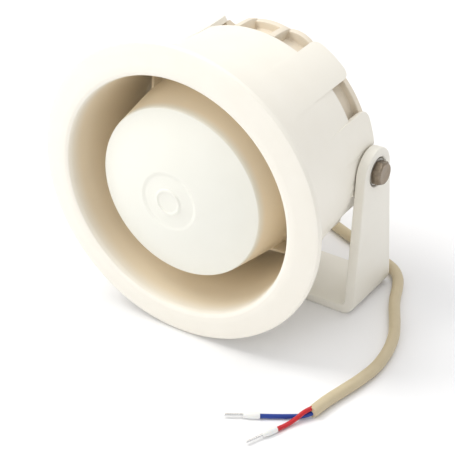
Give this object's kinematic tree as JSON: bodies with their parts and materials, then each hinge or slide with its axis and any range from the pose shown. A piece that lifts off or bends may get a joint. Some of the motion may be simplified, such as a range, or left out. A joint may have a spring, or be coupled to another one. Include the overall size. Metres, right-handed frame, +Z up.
{
  "type": "alarm siren",
  "caption": "Wired alarm siren: a folded plastic horn with a disc reflector and a driver behind it, tilting on a U bracket, with a two-core lead.",
  "frame": {"origin": "middle of the bracket's base, on its underside, which is the surface the siren is fastened to", "axes": "+Z up from the mounting surface, +X to the right along the pivot, -Y the way the horn faces"},
  "size_m": [0.16, 0.1718, 0.1398],
  "materials": {
    "abs_shell": "satin moulded ABS",
    "abs_bracket": "satin moulded ABS",
    "abs_reflector": "satin moulded ABS",
    "abs_cover": "satin moulded ABS",
    "zinc_steel": "zinc plated",
    "ferrite": "ground ferrite",
    "black_plastic": "moulded",
    "rubber": "moulded",
    "diaphragm_film": "thin formed film",
    "diaphragm_cloth": "resin treated cloth",
    "copper_wire": "enamelled winding",
    "board_laminate": "laminate",
    "board_laminate_green": "solder mask",
    "brass": "turned",
    "capacitor_sleeve": "shrunk sleeve",
    "resistor_lacquer": "lacquered",
    "red_insulation": "extruded PVC",
    "blue_insulation": "extruded PVC",
    "pvc_sheath": "extruded PVC",
    "white_sleeve": "moulded",
    "tinned_copper": "tin plated"
  },
  "bodies": {
    "bracket": {"u_bracket": "abs_bracket", "cable_sheath": "pvc_sheath", "core_blue": "blue_insulation", "core_red": "red_insulation", "ferrule_sleeves": "white_sleeve", "ferrule_pins": "tinned_copper"},
    "horn": {"horn_shell": "abs_shell", "reflector_cup": "abs_reflector", "reflector_screws": "zinc_steel", "throat_horn": "abs_shell", "phase_plug": "black_plastic", "driver_flange": "black_plastic", "top_plate": "zinc_steel", "magnet_ring": "ferrite", "pole_yoke": "zinc_steel", "driver_screws": "zinc_steel", "driver_terminals": "board_laminate", "rear_cover": "abs_cover", "cover_gasket": "rubber", "cover_screws": "zinc_steel", "board_standoffs": "brass", "circuit_board": "board_laminate_green", "board_screws": "zinc_steel", "capacitors": "capacitor_sleeve", "power_transistors": "black_plastic", "sound_chip": "black_plastic", "resistors": "resistor_lacquer", "inner_leads": "red_insulation", "pivot_inserts": "brass", "pivot_bolts": "zinc_steel", "bolt_washers": "zinc_steel", "friction_washers": "rubber", "cable_gland": "rubber", "gland_nut": "black_plastic"},
    "diaphragm": {"diaphragm_dome": "diaphragm_film", "diaphragm_surround": "diaphragm_cloth", "voice_coil": "copper_wire"}
  },
  "joints": [
    {"name": "horn_tilt", "type": "hinge", "parent": "bracket", "child": "horn", "pos_m": [0, 0, 0.067], "axis": [-1, 0, 0], "range_deg": [0, 90]},
    {"name": "diaphragm_stroke", "type": "slide", "parent": "horn", "child": "diaphragm", "axis": [0, -1, 0], "range_m": [-0.0003, 0.0003], "stiffness_N_per_m": 900}
  ]
}
